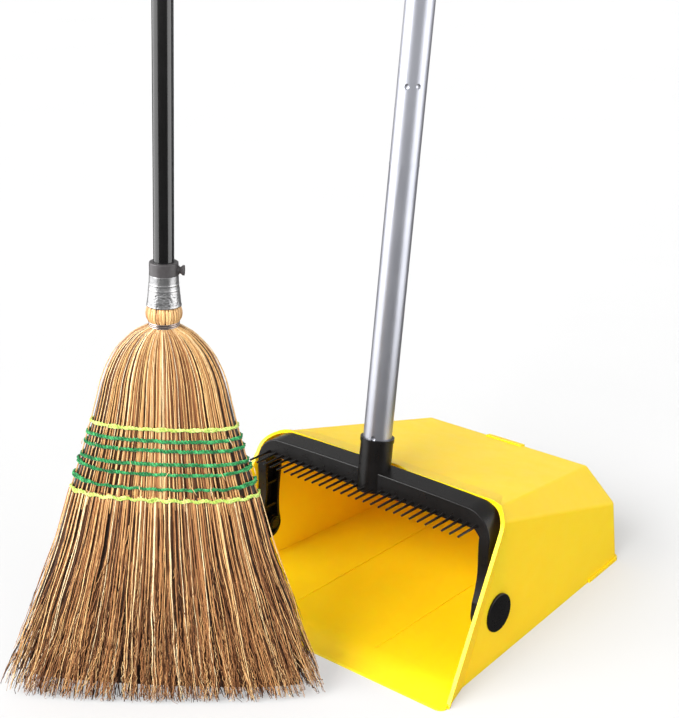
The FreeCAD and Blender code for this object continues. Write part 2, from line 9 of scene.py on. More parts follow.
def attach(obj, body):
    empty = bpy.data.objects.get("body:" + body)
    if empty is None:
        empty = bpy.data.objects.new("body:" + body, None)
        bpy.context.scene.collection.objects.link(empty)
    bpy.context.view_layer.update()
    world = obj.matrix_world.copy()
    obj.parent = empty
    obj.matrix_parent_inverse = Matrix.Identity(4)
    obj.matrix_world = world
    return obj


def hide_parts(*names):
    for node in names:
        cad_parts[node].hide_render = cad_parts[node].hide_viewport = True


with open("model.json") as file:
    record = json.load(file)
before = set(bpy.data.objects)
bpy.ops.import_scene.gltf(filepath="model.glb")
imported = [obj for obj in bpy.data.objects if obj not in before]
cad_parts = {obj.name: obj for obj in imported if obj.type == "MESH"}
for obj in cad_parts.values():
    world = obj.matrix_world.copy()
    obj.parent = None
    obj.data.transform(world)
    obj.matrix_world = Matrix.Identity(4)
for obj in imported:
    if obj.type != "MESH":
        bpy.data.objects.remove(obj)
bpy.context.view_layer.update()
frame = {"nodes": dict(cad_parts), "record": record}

MM = 0.001
SHIFT = Vector((0.74, -61.86, 0)) * MM  # from the pan's drawing to the part's frame, as in the CAD source
CAMERA_AT = Vector((785.2, -868.3, 727.2)) * MM + SHIFT
CAMERA_AZIMUTH = math.radians(40.52)
CAMERA_ELEVATION = math.radians(20.14)
CAMERA_LENS = 70.2
POLE_LEAN = math.radians(7.66)


# ---------------------------------------------------------------- camera

def make_camera():
    back = Vector((
        math.sin(CAMERA_AZIMUTH) * math.cos(CAMERA_ELEVATION),
        -math.cos(CAMERA_AZIMUTH) * math.cos(CAMERA_ELEVATION),
        math.sin(CAMERA_ELEVATION),
    ))
    data = bpy.data.cameras.new("camera")
    data.lens = CAMERA_LENS
    data.sensor_width = 36
    data.clip_start = 0.05
    data.clip_end = 120
    camera = bpy.data.objects.new("camera", data)
    bpy.context.scene.collection.objects.link(camera)
    camera.location = CAMERA_AT
    camera.rotation_mode = "QUATERNION"
    camera.rotation_quaternion = (-back).to_track_quat("-Z", "Y")
    bpy.context.scene.camera = camera


# ---------------------------------------------------------------- materials

class Shader:
    """A node material with one Principled shader and short calls for the textures that feed it."""

    def __init__(self, name, **sockets):
        self.material = bpy.data.materials.new(name)
        self.material.use_nodes = True
        self.tree = self.material.node_tree
        self.main = self.tree.nodes["Principled BSDF"]
        for key, value in sockets.items():
            self.main.inputs[key.replace("_", " ")].default_value = value
        place = self.tree.nodes.new("ShaderNodeTexCoord")
        self.coords = place.outputs["Object"]

    def link(self, source, target):
        self.tree.links.new(source, target)

    def stretched(self, scale, turn=(0, 0, 0)):
        node = self.tree.nodes.new("ShaderNodeMapping")
        node.inputs["Scale"].default_value = scale
        node.inputs["Rotation"].default_value = turn
        self.link(self.coords, node.inputs["Vector"])
        return node.outputs["Vector"]

    def noise(self, scale, detail=3.0, rough=0.55, vector=None):
        node = self.tree.nodes.new("ShaderNodeTexNoise")
        node.inputs["Scale"].default_value = scale
        node.inputs["Detail"].default_value = detail
        node.inputs["Roughness"].default_value = rough
        self.link(vector or self.coords, node.inputs["Vector"])
        return node.outputs["Fac"]

    def attribute(self, name):
        node = self.tree.nodes.new("ShaderNodeAttribute")
        node.attribute_name = name
        return node.outputs["Fac"]

    def ramp(self, value, *stops):
        node = self.tree.nodes.new("ShaderNodeValToRGB")
        elements = node.color_ramp.elements
        while len(elements) < len(stops):
            elements.new(0.5)
        for element, (at, colour) in zip(elements, stops):
            element.position = at
            element.color = (*colour, 1)
        self.link(value, node.inputs["Fac"])
        return node.outputs["Color"]

    def spread(self, value, low, high, from_low=0.3, from_high=0.7):
        node = self.tree.nodes.new("ShaderNodeMapRange")
        node.inputs["From Min"].default_value = from_low
        node.inputs["From Max"].default_value = from_high
        node.inputs["To Min"].default_value = low
        node.inputs["To Max"].default_value = high
        self.link(value, node.inputs["Value"])
        return node.outputs["Result"]

    def math(self, operation, a, b):
        node = self.tree.nodes.new("ShaderNodeMath")
        node.operation = operation
        for socket, value in zip(node.inputs, (a, b)):
            if isinstance(value, (int, float)):
                socket.default_value = value
            else:
                self.link(value, socket)
        return node.outputs["Value"]

    def mix(self, factor, a, b, blend="MIX"):
        node = self.tree.nodes.new("ShaderNodeMix")
        node.data_type = "RGBA"
        node.blend_type = blend
        sockets = (node.inputs[0], node.inputs[6], node.inputs[7])
        for socket, value in zip(sockets, (factor, a, b)):
            if isinstance(value, (int, float)):
                socket.default_value = value
            elif isinstance(value, tuple):
                socket.default_value = (*value, 1)
            else:
                self.link(value, socket)
        return node.outputs[2]

    def colour(self, output):
        self.link(output, self.main.inputs["Base Color"])

    def roughness(self, output):
        self.link(output, self.main.inputs["Roughness"])

    def bump(self, height, distance, strength=1.0):
        node = self.tree.nodes.new("ShaderNodeBump")
        node.inputs["Distance"].default_value = distance
        node.inputs["Strength"].default_value = strength
        self.link(height, node.inputs["Height"])
        self.link(node.outputs["Normal"], self.main.inputs["Normal"])


def yellow_plastic():
    s = Shader("pan_plastic", Specular_IOR_Level=0.36, Subsurface_Weight=0.6,
               Subsurface_Radius=(1.0, 0.62, 0.04), Subsurface_Scale=0.006)
    s.colour(s.ramp(s.noise(5, 4), (0.3, (0.905, 0.60, 0.006)), (0.7, (0.935, 0.64, 0.009))))
    s.roughness(s.spread(s.noise(60, 4), 0.34, 0.44))
    fine = s.noise(1400, 2)
    swirl = s.noise(26, 2)
    s.bump(s.math("ADD", fine, s.math("MULTIPLY", swirl, 2.0)), 0.00006, 0.5)
    return s.material


def black_plastic():
    s = Shader("black_plastic", Specular_IOR_Level=0.27)
    cloud = s.noise(35, 5)
    s.colour(s.ramp(cloud, (0.35, (0.0040, 0.0035, 0.0034)), (0.65, (0.0064, 0.0056, 0.0054))))
    s.roughness(s.spread(s.noise(180, 4), 0.26, 0.36))
    s.bump(s.noise(1900, 3), 0.00006, 0.6)
    return s.material


def pole_aluminium():
    s = Shader("pole_aluminium", Metallic=0.94, Anisotropic=0.35)
    along = s.stretched((1, 1, 0.02), (-POLE_LEAN, 0, 0))
    lines = s.noise(900, 4, 0.7, along)
    cloud = s.noise(14, 3)
    s.colour(s.ramp(cloud, (0.3, (0.44, 0.45, 0.50)), (0.7, (0.50, 0.51, 0.56))))
    s.roughness(s.spread(lines, 0.32, 0.42))
    s.bump(lines, 0.00004, 0.6)
    return s.material


def steel():
    s = Shader("steel_parts", Metallic=1.0)
    s.colour(s.ramp(s.noise(120, 4), (0.3, (0.50, 0.50, 0.51)), (0.7, (0.66, 0.66, 0.67))))
    s.roughness(s.spread(s.noise(700, 3), 0.22, 0.38))
    s.bump(s.noise(1600, 2), 0.00003, 0.5)
    return s.material


def binding_wire():
    s = Shader("binding_wire", Metallic=1.0)
    s.colour(s.ramp(s.noise(420, 4), (0.3, (0.36, 0.31, 0.29)), (0.7, (0.58, 0.50, 0.47))))
    s.roughness(s.spread(s.noise(900, 3), 0.24, 0.42))
    s.bump(s.noise(2600, 2), 0.00003, 0.5)
    return s.material


def ferrule_metal():
    s = Shader("ferrule_metal", Metallic=0.94)
    stain = s.noise(150, 6, 0.6)
    dull, middle, bright = (0.32, 0.32, 0.325), (0.42, 0.42, 0.425), (0.50, 0.495, 0.495)
    s.colour(s.ramp(stain, (0.34, dull), (0.5, middle), (0.66, bright)))
    s.roughness(s.spread(s.noise(600, 4), 0.26, 0.42))
    s.bump(s.noise(1500, 4), 0.00006, 0.6)
    return s.material


def grey_collar():
    s = Shader("grey_collar", Specular_IOR_Level=0.5)
    s.colour(s.ramp(s.noise(160, 5), (0.3, (0.045, 0.041, 0.042)), (0.7, (0.068, 0.063, 0.065))))
    s.roughness(s.spread(s.noise(500, 3), 0.30, 0.44))
    s.bump(s.noise(1800, 3), 0.00007, 0.6)
    return s.material


def gloss_black():
    s = Shader("handle_black", Coat_Weight=0.7, Coat_Roughness=0.1)
    s.colour(s.ramp(s.noise(50, 5), (0.3, (0.0028, 0.0026, 0.0026)), (0.7, (0.0048, 0.0045, 0.0046))))
    along = s.stretched((1, 1, 0.03))
    s.roughness(s.spread(s.noise(500, 4, 0.6, along), 0.16, 0.26))
    s.bump(s.noise(420, 2, 0.5, along), 0.00004, 0.35)
    return s.material


def fibre_material(name, stops, dark):
    """Dry stalks: a tone for each, darker streaks along it and a rough split skin."""
    s = Shader(name, Specular_IOR_Level=0.6)
    tone = s.ramp(s.attribute("tone"), *stops)
    streaks = s.noise(1300, 3, 0.6, s.stretched((1, 1, 0.05)))
    s.colour(s.mix(s.spread(streaks, 0.0, 0.8, 0.44, 0.66), tone, dark, "MULTIPLY"))
    s.roughness(s.spread(s.noise(900, 2), 0.34, 0.54))
    s.bump(streaks, 0.0002, 0.8)
    return s.material


def twine_material(name, low, middle, high):
    s = Shader(name, Specular_IOR_Level=0.3, Sheen_Weight=0.3, Sheen_Roughness=0.4)
    fuzz = s.noise(1500, 5, 0.65)
    s.colour(s.ramp(s.math("MULTIPLY", s.math("ADD", fuzz, s.noise(160, 2)), 0.5),
                    (0.38, low), (0.5, middle), (0.60, high)))
    s.roughness(s.spread(fuzz, 0.5, 0.75))
    s.bump(fuzz, 0.0002, 0.8)
    return s.material


STRAW = (  # place on the tone scale, colour
    (0.0, (0.050, 0.019, 0.008)),
    (0.16, (0.18, 0.070, 0.026)),
    (0.36, (0.43, 0.195, 0.072)),
    (0.60, (0.67, 0.385, 0.145)),
    (0.84, (0.85, 0.58, 0.26)),
    (1.0, (0.96, 0.82, 0.55)),
)
SKIRT = (  # the loose fibres are browner
    (0.0, (0.020, 0.009, 0.006)),
    (0.22, (0.066, 0.026, 0.011)),
    (0.47, (0.255, 0.102, 0.037)),
    (0.69, (0.54, 0.265, 0.098)),
    (0.87, (0.85, 0.55, 0.235)),
    (1.0, (0.97, 0.80, 0.49)),
)
# near-black painted shade for the inside of the bundle, between the stalks
CORE_SHADE = (
    (0.0, (0.022, 0.010, 0.006)),
    (1.0, (0.045, 0.020, 0.010)),
)
LIME = ((0.30, 0.42, 0.055), (0.43, 0.56, 0.11), (0.62, 0.76, 0.24))
GREEN = ((0.003, 0.070, 0.018), (0.007, 0.185, 0.048), (0.07, 0.42, 0.14))

MATERIALS = {
    "pan_plastic": yellow_plastic(),
    "black_plastic": black_plastic(),
    "pole_aluminium": pole_aluminium(),
    "steel_parts": steel(),
    "grey_collar": grey_collar(),
    "ferrule_metal": ferrule_metal(),
    "handle_black": gloss_black(),
    "binding_wire": binding_wire(),
    "corn_fibre": fibre_material("corn_fibre", STRAW, (0.52, 0.36, 0.24)),
    "corn_tips": fibre_material("corn_tips", SKIRT, (0.42, 0.28, 0.19)),
    # corn_core paints the shade inside the bundle
    "corn_core": fibre_material("corn_core", CORE_SHADE, (0.4, 0.3, 0.2)),
    "lime_twine": twine_material("lime_twine", *LIME),
    "green_twine": twine_material("green_twine", *GREEN),
}


def dress_cad_nodes():
    for part in frame["record"]["subparts"]:
        node = frame["nodes"][part["node"]]
        for place in node.material_slots:
            place.material = MATERIALS[part["material_slot"]]


# ---------------------------------------------------------------- mesh tools

def add_piece(name, points, faces, material, tone=None):
    """A mesh object in the part's frame that rides on the broom head, with an optional tone per point."""
    mesh = bpy.data.meshes.new(name)
    mesh.from_pydata([], [], [])
    points = np.asarray(points, float)
    loops = np.concatenate([np.asarray(f).ravel() for f in faces]).astype(np.int32)
    sizes = np.concatenate([np.full(len(f), np.asarray(f).shape[1]) for f in faces]).astype(np.int32)
    starts = np.concatenate(([0], np.cumsum(sizes)[:-1])).astype(np.int32)
    mesh.vertices.add(len(points))
    mesh.vertices.foreach_set("co", points.astype(np.float32).ravel())
    mesh.loops.add(len(loops))
    mesh.loops.foreach_set("vertex_index", loops)
    mesh.polygons.add(len(sizes))
    mesh.polygons.foreach_set("loop_start", starts)
    mesh.polygons.foreach_set("use_smooth", np.full(len(sizes), True))
    mesh.update(calc_edges=True)
    mesh.validate()
    if tone is not None:
        attribute = mesh.attributes.new("tone", "FLOAT", "POINT")
        attribute.data.foreach_set("value", np.asarray(tone, np.float32))
    mesh.materials.append(MATERIALS[material])
    piece = bpy.data.objects.new(name, mesh)
    bpy.context.scene.collection.objects.link(piece)
    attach(piece, "broom_head")
    return piece


def unit(v):
    return v / np.maximum(np.linalg.norm(v, axis=-1, keepdims=True), 1e-12)


def band_faces(index, closed=False):
    """Quads between neighbouring rings of points, where index is (rings, points in a ring)."""
    a = index if closed else index[:-1]
    b = np.roll(index, -1, axis=0) if closed else index[1:]
    corners = [a, np.roll(a, -1, axis=1), np.roll(b, -1, axis=1), b]
    return np.stack(corners, axis=-1).reshape(-1, 4)


def circle(radius, turn, z):
    """Points at a height on a circle round the broom's axis; every value may be an array."""
    return np.stack([radius * np.cos(turn), radius * np.sin(turn), z + 0 * turn], axis=-1)


def tubes(lines, radii, sides, outward, closed=False):
    """Round tubes along many lines of equal length: lines (n, k, 3), radii (n, k). Returns points, faces."""
    n, k, _ = lines.shape
    if closed:
        tangent = np.roll(lines, -1, axis=1) - np.roll(lines, 1, axis=1)
    else:
        tangent = np.gradient(lines, axis=1)
    tangent = unit(tangent)
    normal = unit(outward - (outward * tangent).sum(-1, keepdims=True) * tangent)
    across = np.cross(tangent, normal)
    turn = np.arange(sides) * 2 * np.pi / sides
    ring = (
        normal[:, :, None, :] * np.cos(turn)[None, None, :, None]
        + across[:, :, None, :] * np.sin(turn)[None, None, :, None]
    )
    points = lines[:, :, None, :] + ring * radii[:, :, None, None]
    index = np.arange(n * k * sides).reshape(n, k, sides)
    last = k if closed else k - 1
    a = index[:, :last]
    b = np.roll(index, -1, axis=1)[:, :last]
    quads = np.stack([a, np.roll(a, -1, axis=2), np.roll(b, -1, axis=2), b], axis=-1).reshape(-1, 4)
    faces = [quads]
    if not closed:
        faces.append(index[:, 0, ::-1].reshape(-1, sides))
        faces.append(index[:, -1].reshape(-1, sides))
    return points.reshape(-1, 3), faces


# ---------------------------------------------------------------- broom, drawn upright in millimetres

BROOM_AT = Vector((-48.5, -137.2, 0)) * MM + SHIFT
BROOM_TURN = math.radians(39.64)
LEAN = math.radians(2.2)
BROOM = (
    Matrix.Translation(BROOM_AT)
    @ Matrix.Rotation(BROOM_TURN, 4, "Z")
    @ Matrix.Rotation(LEAN, 4, "Y")
)
OUTLINE = np.array([  # height, half width, half depth of the bundle
    (0, 149.9, 19.0), (48, 133.0, 19.0), (103, 114.1, 18.9), (155, 96.2, 17.8), (205, 82.1, 16.8),
    (235, 72.7, 16.1), (270, 62.8, 15.4), (290, 57.8, 15.4), (306, 54.1, 15.4), (318, 49.5, 15.4),
    (328, 44.3, 15.4), (336, 39.3, 15.3), (343, 32.4, 15.0), (348, 27.3, 14.5), (351.5, 21.9, 13.9),
    (353.8, 15.9, 13.2), (356.4, 12.2, 11.9),
])


def placed(points):
    """From the broom's drawing in millimetres to the part's frame in metres."""
    points = np.asarray(points, float) * MM
    m = np.array(BROOM)
    return points @ m[:3, :3].T + m[:3, 3]


def half_width(z):
    return np.interp(z, OUTLINE[:, 0], OUTLINE[:, 1])


def half_depth(z):
    return np.interp(z, OUTLINE[:, 0], OUTLINE[:, 2])


def edge_run(z, steps):
    """Angles round the oval at a height, and the distance along its edge to each."""
    fine = np.linspace(0, 2 * np.pi, steps + 1)
    x = half_width(z) * np.cos(fine)
    y = half_depth(z) * np.sin(fine)
    return fine, np.concatenate(([0], np.cumsum(np.hypot(np.diff(x), np.diff(y)))))


def even_turns(count, z, rng, jitter):
    """Angles round the oval at a height, evenly spaced along its edge with a little scatter."""
    fine, run = edge_run(z, 2000)
    wanted = (np.arange(count) + 0.5 + rng.uniform(-jitter, jitter, count)) / count * run[-1]
    return np.interp(wanted, run, fine)


def smooth_noise(rng, rows, steps, octaves):
    """A smooth random line for each row, about -1 to 1, made of a few waves along its length."""
    t = np.linspace(0, 1, steps)[None, :]
    total = np.zeros((rows, steps))
    for waves, size in octaves:
        phase = rng.uniform(0, 2 * np.pi, (rows, 1))
        pitch = waves * rng.uniform(0.7, 1.3, (rows, 1))
        total += size * np.sin(2 * np.pi * pitch * t + phase)
    return total


def bundle_line(turn, share, z):
    """Points at heights z on a stalk that keeps its place in the bundle's cross-section."""
    x = share * half_width(z) * np.cos(turn)
    y = share * half_depth(z) * np.sin(turn)
    return np.stack([x, y, z], axis=-1)


def outward_at(turn, lines):
    """A direction away from the flat head for each stalk; the tiny part keeps it off zero."""
    ref = np.stack([0.35 * np.cos(turn), np.sin(turn), np.zeros_like(turn)], axis=-1)
    return np.broadcast_to(ref[:, None, :], lines.shape).copy() + 1e-6


def strands(name, lines, radii, outward, tone, material, replaced=(), sides=5):
    """Many thin tubes as one piece. No point goes under the floor."""
    points, faces = tubes(lines, radii, sides, outward)
    tone = np.broadcast_to(tone if tone.ndim == 2 else tone[:, None], lines.shape[:2])
    tones = np.repeat(np.clip(tone, 0, 1).ravel(), sides)
    world = placed(points)
    world[:, 2] = np.maximum(world[:, 2], 0.0)
    piece = add_piece(name, world, faces, material, tones)
    if replaced:
        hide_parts(*replaced)


def add_shade_core(name, rings, tone):
    """A closed dark form through rings of points, from the lowest ring to the highest; its dark colour is
    painted shade inside the bundle.
    """
    points = np.concatenate(rings)
    index = np.arange(len(points)).reshape(len(rings), -1)
    faces = [band_faces(index), index[0][::-1][None], index[-1][None]]
    piece = add_piece(name, placed(points), faces, "corn_core", tone)


def core():
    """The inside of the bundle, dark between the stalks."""
    # Its near-black colour is painted shade deep between the stalks.
    heights = np.array([16, 44, 90, 150, 205, 240, 270, 300, 318, 334, 343, 349, 353.5])
    around = 120
    turn = np.arange(around) * 2 * np.pi / around
    ridges = 0.35 * np.sin(turn * 37) + 0.25 * np.sin(turn * 61 + 1.7)
    rings = []
    for z in heights:
        inset = 3.0 if z < 330 else 2.2
        wide = max(half_width(z) - inset, 9.5)
        deep = max(half_depth(z) - inset, 9.5)
        if z < 60:
            wide -= 4 + 0.35 * (60 - z)
            deep -= 3
        x = (wide + ridges) * np.cos(turn)
        y = (deep + ridges) * np.sin(turn)
        rings.append(np.stack([x, y, np.full(around, z)], axis=-1))
    tone = np.tile(0.5 + 0.5 * np.sin(turn * 53), len(heights))
    add_shade_core("fibre_shade_core", rings, tone)


def clumps(turn, rng, pitch):
    """Light and dark patches round the head, from -1 to 1, for stalks that grew together."""
    run = turn * half_width(150) / pitch
    return 0.6 * np.sin(run + rng.uniform(0, 6)) + 0.4 * np.sin(2.3 * run + rng.uniform(0, 6))


def shoulder_stalks():
    """Stout stalks from the wire down past the stitching, in layers: dark ones underneath as painted shade
    between them, and thin pale ones outside as painted highlights.
    """
    rng = np.random.default_rng(11)
    layers = (  # number, place in the bundle, radius, tone
        (112, (0.970, 0.995), 0.92, (0.12, 0.92)),
        # the second layer's dark tones are painted shade in the gaps between the stalks
        (130, (0.915, 0.950), 1.05, (0.0, 0.26)),
        # the third layer's thin pale stalks are painted highlights along the stalks
        (84, (1.0, 1.015), 0.42, (0.62, 1.0)),
    )
    for layer, (count, place, thick, tones) in enumerate(layers):
        turn = even_turns(count, 262, rng, 0.30)
        steps = 26
        t = np.linspace(0, 1, steps)[None, :]
        top = 356.2
        bottom = 196.0 - rng.uniform(0, 14, (count, 1))
        z = top + (bottom - top) * t ** 1.55
        share = rng.uniform(*place, (count, 1)) + 0 * t
        sway = smooth_noise(rng, count, steps, ((0.8, 0.007), (2.2, 0.003))) * np.minimum(1, 6 * t)
        angle = turn[:, None] + sway
        lines = bundle_line(angle, share, z)
        neck = (half_width(z) / 62.0) ** 0.75
        radii = thick * rng.uniform(0.62, 1.25, (count, 1)) * np.clip(neck, 0.30, 1.25)
        pull = 1 - radii / np.maximum(half_depth(z), 1)
        lines[..., 0] *= pull
        lines[..., 1] *= pull
        if layer == 0:
            tone = np.clip(rng.beta(1.25, 1.35, count), *tones)
        else:
            tone = rng.uniform(*tones, count)
        # Painted shade: the tone falls towards the stitching, and further on the flanks of the head.
        tone = tone[:, None] + 0.06 - 0.13 * t ** 2 - (0.26 * np.abs(np.cos(turn)) ** 2)[:, None] * t
        tone = tone + 0.10 * clumps(turn, rng, 4.0)[:, None] * t
        replaced = ("fibre_shoulder",) if layer == 0 else ()
        outward = outward_at(turn, lines)
        strands("shoulder_stalks_%d" % layer, lines, radii, outward, tone, "corn_fibre", replaced, 6)


def throat_stalks():
    """The round bulb above the wire, tucked into the ferrule."""
    rng = np.random.default_rng(5)
    profile_z = np.array([355.4, 357.8, 360.2, 363.2, 366.4, 369.4, 371.8, 374.0, 379.0])
    profile_r = np.array([11.5, 11.7, 13.5, 15.0, 15.4, 14.8, 13.7, 12.9, 12.1])
    steps = 22
    z = np.linspace(profile_z[0], profile_z[-1], steps)
    for layer, (count, inset, thick) in enumerate(((34, 0.0, 1.55), (34, 1.2, 1.5))):
        turn = (np.arange(count) + 0.5 * layer + rng.uniform(-0.22, 0.22, count)) * 2 * np.pi / count
        size = rng.uniform(0.7, 1.2, (count, 1))
        radius = np.interp(z, profile_z, profile_r)[None, :] - inset
        bulge = np.clip((radius - 11.6) / 3.8, 0, 1)
        radii = thick * size * (0.62 + 0.38 * bulge)
        reach = radius - radii
        angle = turn[:, None] + smooth_noise(rng, count, steps, ((0.6, 0.035),))
        lines = circle(reach, angle, z)
        ref = circle(1.0, turn, 0.0)
        outward = np.broadcast_to(ref[:, None, :], lines.shape)
        # The inner layer's dark tones are painted shade between the bulb's stalks.
        tone = rng.uniform(0.45, 0.9, count) if layer == 0 else rng.uniform(0.0, 0.22, count)
        replaced = ("fibre_throat",) if layer == 0 else ()
        strands("throat_stalks_%d" % layer, lines, radii, outward, tone, "corn_fibre", replaced, 8)
    # A dark core under the bulb's stalks: painted shade between them.
    around = 48
    turn = np.arange(around) * 2 * np.pi / around
    inset = 2.4
    rings = [circle(radius, turn, height) for height, radius in zip(profile_z, profile_r - inset)]
    add_shade_core("throat_shade_core", rings, np.full(len(rings) * around, 0.4))


def skirt_tip_height(turn):
    """Where the cut is in the broom's drawing: level with the floor, though the broom leans."""
    level = math.tan(LEAN) * half_width(0) * np.cos(turn)
    return 0.5 + level + 2.5 * np.abs(np.cos(turn)) ** 12


def skirt_stems(rng, tufts):
    """Long stems that spread in tufts, pale outside and darker in each layer below; the darker tones are
    painted shade inside the bundle.
    """
    # Each deeper layer has darker tones: painted shade inside the bundle.
    layers = (  # number, place in the bundle, radius, tone
        (120, (0.985, 1.01), 0.52, (0.55, 1.0)),
        (230, (0.95, 0.985), 0.62, (0.10, 0.80)),
        (320, (0.88, 0.94), 0.72, (0.0, 0.45)),
        (220, (0.74, 0.86), 0.90, (0.0, 0.2)),
    )
    for layer, (count, place, thick, tones) in enumerate(layers):
        turn = even_turns(count, 120, rng, 0.5)
        steps = 22
        t = np.linspace(0, 1, steps)[None, :]
        start = 203.0 + rng.uniform(-2, 3, (count, 1))
        loss = rng.exponential(9.0, count) if layer == 0 else rng.exponential(3.0, count)
        nearest = tufts[np.abs(turn[:, None] - tufts[None, :]).argmin(1)]
        off = np.abs(nearest - turn) * half_width(0) * 0.75
        gather = (nearest - turn)[:, None] * 0.72 * np.clip((t - 0.25) / 0.75, 0, 1) ** 1.6
        tip = (skirt_tip_height(turn) + loss * 0.6 + 1.7 * off)[:, None]
        z = start + (tip - start) * t
        sway = smooth_noise(rng, count, steps, ((0.9, 0.011), (3.0, 0.0055), (7.0, 0.0024))) * t ** 0.7
        hook = rng.normal(0, 0.022, (count, 1)) * t ** 10
        share = rng.uniform(*place, (count, 1))
        share = share + 0.015 * smooth_noise(rng, count, steps, ((1.5, 1.0),)) * t
        lines = bundle_line(turn[:, None] + gather + sway + hook, share, z)
        radii = thick * rng.uniform(0.6, 1.3, (count, 1)) * (1.05 - 0.6 * t)
        tone = rng.uniform(*tones, (count, 1)) - 0.03 * t + 0.02
        tone = tone + 0.16 * clumps(turn, rng, 3.2)[:, None] * np.minimum(1, 3 * t)
        replaced = ("fibre_skirt",) if layer == 0 else ()
        outward = outward_at(turn, lines)
        strands("skirt_stems_%d" % layer, lines, radii, outward, tone, "corn_tips", replaced)


def skirt_branches(rng, tufts):
    """Fine crinkled branches that leave the stems lower down, some with a hooked tip."""
    layers = (  # number, radius, highest and lowest start, crinkle, tone
        (1100, 0.36, (40, 190), 0.0034, (0.10, 0.80)),
        (700, 0.28, (20, 110), 0.0060, (0.15, 0.95)),
    )
    for layer, (count, thick, starts, crinkle, tones) in enumerate(layers):
        turn = even_turns(count, 60, rng, 0.5)
        steps = 20
        t = np.linspace(0, 1, steps)[None, :]
        start = rng.uniform(*starts, (count, 1))
        length = rng.uniform(40, 110, (count, 1))
        nearest = tufts[np.abs(turn[:, None] - tufts[None, :]).argmin(1)]
        off = np.abs(nearest - turn)[:, None] * half_width(0) * 0.75
        lowest = skirt_tip_height(turn)[:, None] + rng.exponential(1.6, (count, 1)) + 1.5 * off
        tip = np.maximum(start - length, lowest)
        z = start + (tip - start) * t
        share = rng.uniform(0.965, 1.02, (count, 1)) - 0.05 * (1 - t) ** 2
        fan = rng.normal(0, 0.018, (count, 1)) * t + rng.normal(0, 0.020, (count, 1)) * t ** 8
        wander = smooth_noise(rng, count, steps, ((1.2, 0.006), (3.4, 0.0045), (8.0, crinkle)))
        gather = (nearest - turn)[:, None] * 0.6 * t ** 1.5
        lines = bundle_line(turn[:, None] + gather + fan + wander * (0.25 + t), share, z)
        lines[..., 2] += 0.8 * smooth_noise(rng, count, steps, ((5.0, 1.0),)) * t
        radii = thick * rng.uniform(0.7, 1.4, (count, 1)) * (1.1 - 0.5 * t)
        tone = rng.uniform(*tones, (count, 1)) + 0.12 * clumps(turn, rng, 3.2)[:, None]
        outward = outward_at(turn, lines)
        strands("skirt_branches_%d" % layer, lines, radii, outward, tone, "corn_tips", sides=4)


def skirt_strands():
    """The loose fibres below the stitching, gathered into tufts."""
    rng = np.random.default_rng(23)
    tufts = np.sort(even_turns(62, 60, rng, 0.45))
    skirt_stems(rng, tufts)
    skirt_branches(rng, tufts)


# ---------------------------------------------------------------- twine, wire and metal of the broom

ROWS = (267.5, 257.0, 248.2, 235.8, 226.5, 213.0, 202.5)  # heights of the stitched rows


def round_head(z, turns, lift, proud):
    """A closed line round the head: lift moves it up and down, proud moves it in and out."""
    wide = half_width(z) + proud
    deep = half_depth(z) + proud
    return np.stack([wide * np.cos(turns), deep * np.sin(turns), z + lift], axis=-1)


def even_loop(z, count):
    """Angles evenly spaced along the oval's edge, the distance to each, and the whole length."""
    fine, run = edge_run(z, 4000)
    wanted = np.arange(count) / count * run[-1]
    return np.interp(wanted, run, fine), wanted, run[-1]


STITCH = 13.5  # from one stitch of a row to the next


def laid_twine(row, strands_laid, ply_r, lay_r, pitch, material):
    """One stitched row of two-ply twine; strands_laid holds each strand's lift, end rise, wave and shift."""
    rng = np.random.default_rng(row)
    z = ROWS[row - 1]
    turns, run, length = even_loop(z, 900)
    stitches = round(length / STITCH)
    twists = round(length / pitch)
    ends = np.clip((np.abs(np.cos(turns)) - 0.66) / 0.34, 0, 1) ** 1.3
    lines, refs = [], []
    for lift, rise, wave, shift in strands_laid:
        phase = run / length * stitches * 2 * np.pi + shift
        weave = phase * 0.5 if stitches % 2 == 0 else phase  # a half wave only closes over an even number
        wobble = sum(
            size * np.sin(2 * np.pi * waves * run / length + rng.uniform(0, 6.28))
            for waves, size in ((3, 0.35), (7, 0.25), (17, 0.18))
        )
        up = lift * np.cos(weave) + wave * np.sin(phase) + rise * ends + 0.6 * wobble
        dip = 0.55 * np.cos(phase) ** 8
        tuck = 1.9 * np.abs(np.cos(turns)) ** 10
        centre = round_head(z, turns, up, 0.95 - dip - tuck + 0.25 * np.sin(phase * 0.5))
        tangent = unit(np.roll(centre, -1, axis=0) - np.roll(centre, 1, axis=0))
        out = np.stack([np.cos(turns) / half_width(z), np.sin(turns) / half_depth(z), 0 * turns], axis=-1)
        out = unit(out)
        side = np.cross(tangent, out)
        for ply in range(2):
            spin = run / length * twists * 2 * np.pi + ply * np.pi
            lines.append(centre + lay_r * (np.cos(spin)[:, None] * out + np.sin(spin)[:, None] * side))
            refs.append(out)
    lines = np.array(lines)
    radii = np.full(lines.shape[:2], ply_r)
    points, faces = tubes(lines, radii, 6, np.array(refs), closed=True)
    piece = add_piece("twine_row_%d" % row, placed(points), faces, material)
    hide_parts("stitch_row_%d" % row)


def stitching():
    """Seven rows: lime, five green, lime. Some rows are two strands side by side."""
    lime = ((0.75, 0.6, 0.2, 0.0), (-0.75, 0.6, 0.2, 0.6))
    wavy = ((0.7, 3.4, 0.8, 0.0), (-0.7, 2.2, 0.8, 0.5))
    plain = ((0.0, 0.9, 0.2, 0.0),)
    double = ((0.4, 6.0, 0.25, 0.0), (-0.4, 3.4, 0.25, 1.6))
    laid_twine(1, lime, 0.72, 0.56, 6.0, "lime_twine")
    for row in (2, 3, 4):
        laid_twine(row, plain, 0.98, 0.80, 6.2, "green_twine")
    for row in (5, 6):
        laid_twine(row, double, 0.74, 0.58, 5.2, "green_twine")
    laid_twine(7, wavy, 0.70, 0.55, 6.0, "lime_twine")


